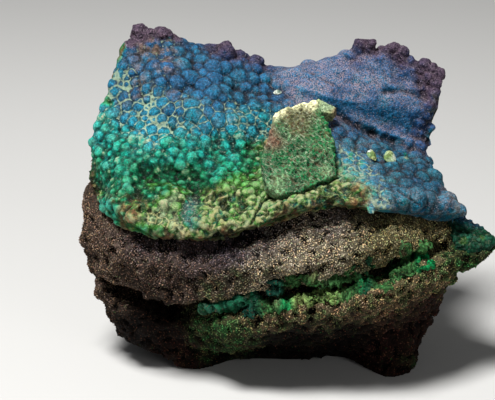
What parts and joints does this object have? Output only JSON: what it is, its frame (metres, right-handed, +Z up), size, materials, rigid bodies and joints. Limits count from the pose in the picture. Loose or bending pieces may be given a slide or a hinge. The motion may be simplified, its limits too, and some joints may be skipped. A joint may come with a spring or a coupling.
{
  "type": "cornetite cluster mineral specimen",
  "caption": "Natural mineral hand specimen: a sloping botryoidal blue and green crust grown on a fissured block of brown sandstone, standing on its flat base.",
  "frame": {"origin": "middle of the flat base the specimen stands on", "axes": "+Z up, -Y towards the crusted display face, +X to the right seen from that face"},
  "size_m": [0.0869, 0.0579, 0.0698],
  "materials": {
    "sandstone": "rough broken granular stone, brown with cream, olive and reddish patches and black pits",
    "cornetite": "velvety microcrystalline botryoids with a fine sparkle, deep blue above shading to teal, green and pale sage below",
    "malachite": "dull broken fibrous green with brown specks",
    "pale_rind": "chalky pale green and cream rind"
  },
  "bodies": {
    "root": {"sandstone_matrix": "sandstone", "cornetite_crust": "cornetite", "tip_crust": "cornetite", "malachite_slab": "malachite", "fissure_floor_lining": "malachite", "fissure_roof_lining": "malachite", "vug_botryoids": "malachite", "pale_flake": "pale_rind", "white_chip": "pale_rind", "pale_chip_left": "pale_rind", "pale_chip_right": "pale_rind"}
  },
  "joints": []
}
